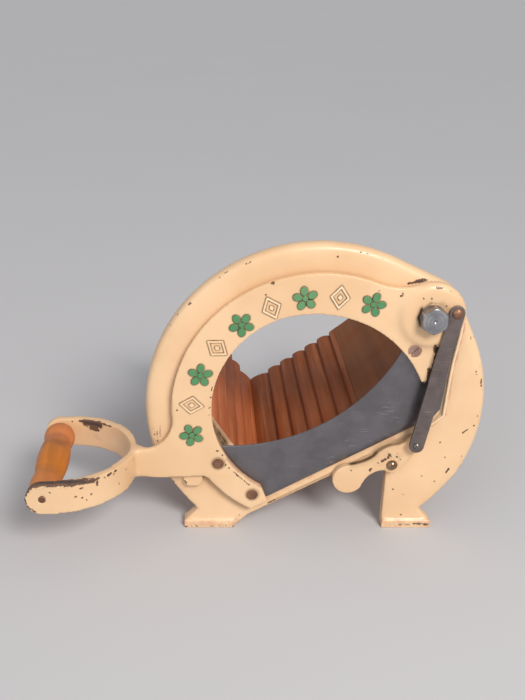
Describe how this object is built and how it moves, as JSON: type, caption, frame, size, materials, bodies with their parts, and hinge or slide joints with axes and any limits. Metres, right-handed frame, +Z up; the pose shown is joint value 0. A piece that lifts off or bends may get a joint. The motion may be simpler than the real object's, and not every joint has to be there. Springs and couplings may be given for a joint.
{
  "type": "hand lever bread slicer",
  "caption": "Hand slicer for loaves: a cast ring carries a wooden trough, and a pivoted bow arm with a steel blade and a wooden grip swings down across the ring.",
  "frame": {"origin": "on the table, under the middle of the object's box at rest", "axes": "+Z up, +Y from the blade side to the far end of the trough, +X along the longest extent from the grip to the ring"},
  "size_m": [0.395, 0.3024, 0.2705],
  "materials": {
    "cream_paint": "gloss enamel on cast iron, worn and chipped",
    "dark_board": "varnished reddish brown hardwood",
    "pale_board": "varnished tan brown hardwood",
    "grip_wood": "worn orange brown varnish",
    "plain_steel": "dull turned steel",
    "bright_steel": "worn nickel plate",
    "brown_steel": "browned steel",
    "grey_steel": "dull grey steel",
    "blade_steel": "ground steel with fine scratches"
  },
  "bodies": {
    "frame": {"main_frame": "cream_paint", "left_board": "dark_board", "floor_board": "dark_board", "wall_board": "pale_board", "rear_bracket": "cream_paint", "front_board_screws": "plain_steel", "rear_board_screws": "plain_steel", "pivot_bolt": "bright_steel", "pivot_bush": "plain_steel", "pivot_front_washer": "plain_steel", "pivot_thrust_washer": "plain_steel", "pivot_rear_washer": "plain_steel", "pivot_nut": "plain_steel", "stop_lever_pin": "brown_steel", "stop_lever_washer": "plain_steel"},
    "arm": {"bow_arm": "cream_paint", "blade": "blade_steel", "blade_rivets": "brown_steel", "blade_screw": "brown_steel", "link_top_pin": "brown_steel", "grip_rod": "plain_steel"},
    "grip": {"grip": "grip_wood"},
    "link": {"link_bar": "grey_steel", "link_lower_pin": "brown_steel"},
    "stop_lever": {"stop_lever": "cream_paint"}
  },
  "joints": [
    {"name": "arm_lift", "type": "hinge", "parent": "frame", "child": "arm", "pos_m": [0.13815, -0.0961, 0.2125], "axis": [0, 1, 0], "range_deg": [0, 60]},
    {"name": "grip_turn", "type": "hinge", "parent": "arm", "child": "grip", "pos_m": [-0.18335, -0.0888, 0.0663], "axis": [0, 1, 0], "continuous": true},
    {"name": "link_turn", "type": "hinge", "parent": "arm", "child": "link", "pos_m": [0.15795, -0.1029, 0.2173], "axis": [0, 1, 0], "range_deg": [-70, 2]},
    {"name": "stop_lift", "type": "hinge", "parent": "frame", "child": "stop_lever", "pos_m": [0.11745, -0.0931, 0.0693], "axis": [0, 1, 0], "range_deg": [-2, 53]}
  ],
  "couplings": [
    {"joint": "link_turn", "follows": "arm_lift", "ratio": -1.13},
    {"joint": "stop_lift", "follows": "arm_lift", "ratio": 0.845}
  ]
}
